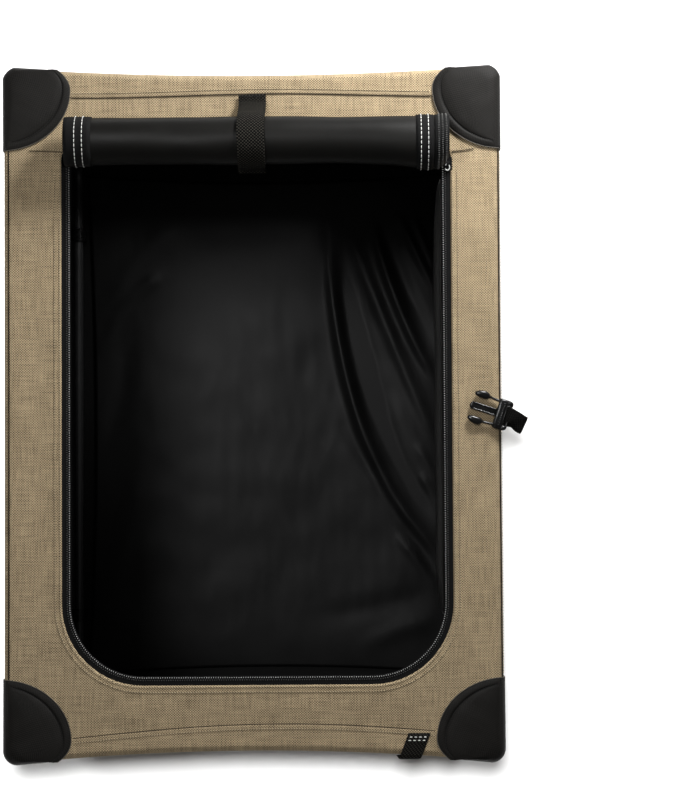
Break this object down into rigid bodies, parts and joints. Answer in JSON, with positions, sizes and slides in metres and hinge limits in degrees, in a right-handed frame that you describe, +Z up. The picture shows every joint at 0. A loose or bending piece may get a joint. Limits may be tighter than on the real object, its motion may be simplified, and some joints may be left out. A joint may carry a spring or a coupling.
{
  "type": "folding pet kennel",
  "caption": "Fabric pet kennel on a tube frame that folds flat, with a rolled-up zipped roof door, mesh windows, a floor pad and a side-release closure strap.",
  "frame": {"origin": "centre of the flat underside, which rests on the floor", "axes": "+Z up, +Y towards the rear end, where the roof door is rolled up, and +X towards the side with the closure buckle"},
  "size_m": [0.5749, 0.7623, 0.5813],
  "materials": {
    "tan_fabric": "matt woven polyester",
    "black_fabric": "matt woven polyester",
    "black_nylon": "smooth nylon with a slight sheen",
    "mesh": "open polyester net",
    "webbing": "ribbed webbing",
    "zipper": "coil zip and tape",
    "plastic": "moulded acetal",
    "frame_tube": "dark matt tube"
  },
  "bodies": {
    "base": {"base_frame": "frame_tube", "base_sheet": "black_nylon", "base_band": "tan_fabric", "floor_pad": "black_nylon", "base_corner_patch_front_left": "black_fabric", "base_corner_patch_front_right": "black_fabric", "base_corner_patch_rear_left": "black_fabric", "base_corner_patch_rear_right": "black_fabric", "base_pivot_clip_front_left": "plastic", "base_pivot_clip_front_right": "plastic", "base_pivot_clip_rear_left": "plastic", "base_pivot_clip_rear_right": "plastic", "base_closure_strap": "webbing", "front_wall": "tan_fabric", "front_door": "tan_fabric", "front_door_mesh": "mesh", "front_zipper": "zipper", "rear_wall": "tan_fabric", "rear_window_mesh": "mesh"},
    "left_lower": {"left_lower_frame": "frame_tube", "left_lower_panel": "tan_fabric", "left_lower_mesh": "mesh", "left_lower_knuckle_front": "plastic", "left_lower_knuckle_rear": "plastic"},
    "left_upper": {"left_upper_frame": "frame_tube", "left_upper_panel": "tan_fabric", "left_upper_mesh": "mesh", "left_upper_knuckle_front": "plastic", "left_upper_knuckle_rear": "plastic"},
    "right_lower": {"right_lower_frame": "frame_tube", "right_lower_panel": "tan_fabric", "right_lower_mesh": "mesh", "right_lower_knuckle_front": "plastic", "right_lower_knuckle_rear": "plastic"},
    "right_upper": {"right_upper_frame": "frame_tube", "right_upper_panel": "tan_fabric", "right_upper_mesh": "mesh", "right_upper_knuckle_front": "plastic", "right_upper_knuckle_rear": "plastic"},
    "roof": {"roof_frame": "frame_tube", "roof_panel": "tan_fabric", "roof_band": "tan_fabric", "roof_corner_patch_front_left": "black_fabric", "roof_corner_patch_front_right": "black_fabric", "roof_corner_patch_rear_left": "black_fabric", "roof_corner_patch_rear_right": "black_fabric", "roof_pivot_clip_front_left": "plastic", "roof_pivot_clip_front_right": "plastic", "roof_pivot_clip_rear_left": "plastic", "roof_pivot_clip_rear_right": "plastic", "roof_zipper": "zipper", "door_roll": "black_nylon", "roll_strap": "webbing", "front_pull_tab": "webbing", "closure_strap": "webbing"},
    "roof_zip_slider": {"roof_zip_slider": "plastic"},
    "roof_zip_pull": {"roof_zip_pull": "zipper"},
    "front_zip_slider": {"front_zip_slider": "plastic"},
    "male_buckle": {"buckle_male": "plastic"},
    "female_buckle": {"buckle_female": "plastic"}
  },
  "joints": [
    {"name": "left_leg_pivot", "type": "hinge", "parent": "base", "child": "left_lower", "pos_m": [-0.24925, 0, 0.02375], "axis": [0, 1, 0], "range_deg": [0, 86]},
    {"name": "fold", "type": "hinge", "parent": "left_lower", "child": "left_upper", "pos_m": [-0.26325, 0, 0.2656], "axis": [0, -1, 0], "range_deg": [0, 172], "deforming": ["front_wall", "front_door", "front_door_mesh", "front_zipper", "rear_wall", "rear_window_mesh"]},
    {"name": "left_roof_pivot", "type": "hinge", "parent": "left_upper", "child": "roof", "pos_m": [-0.24925, 0, 0.50745], "axis": [0, 1, 0], "range_deg": [0, 86]},
    {"name": "right_leg_pivot", "type": "hinge", "parent": "base", "child": "right_lower", "pos_m": [0.24925, 0, 0.02375], "axis": [0, 1, 0], "range_deg": [-86, 0]},
    {"name": "right_knee", "type": "hinge", "parent": "right_lower", "child": "right_upper", "pos_m": [0.26325, 0, 0.2656], "axis": [0, 1, 0], "range_deg": [0, 172]},
    {"name": "roof_zip", "type": "slide", "parent": "roof", "child": "roof_zip_slider", "axis": [0, -1, 0], "range_m": [0, 0.45]},
    {"name": "roof_zip_pull_turn", "type": "hinge", "parent": "roof_zip_slider", "child": "roof_zip_pull", "pos_m": [0.2148, 0.2715, 0.5326], "axis": [-1, 0, 0], "range_deg": [0, 100]},
    {"name": "front_zip", "type": "slide", "parent": "roof", "child": "front_zip_slider", "axis": [1, 0, 0], "range_m": [-0.15, 0.15]},
    {"name": "male_buckle_turn", "type": "hinge", "parent": "roof", "child": "male_buckle", "pos_m": [0.281, -0.0067, 0.5343], "axis": [0.314, 0.9494, 0], "range_deg": [0, 140]},
    {"name": "female_buckle_turn", "type": "hinge", "parent": "base", "child": "female_buckle", "pos_m": [0.279, -0.0067, 0.0105], "axis": [0, 1, 0], "range_deg": [0, 90]}
  ],
  "couplings": [
    {"joint": "left_leg_pivot", "follows": "fold", "ratio": 0.5},
    {"joint": "left_roof_pivot", "follows": "fold", "ratio": 0.5},
    {"joint": "right_leg_pivot", "follows": "fold", "ratio": -0.5},
    {"joint": "right_knee", "follows": "fold", "ratio": 1}
  ]
}
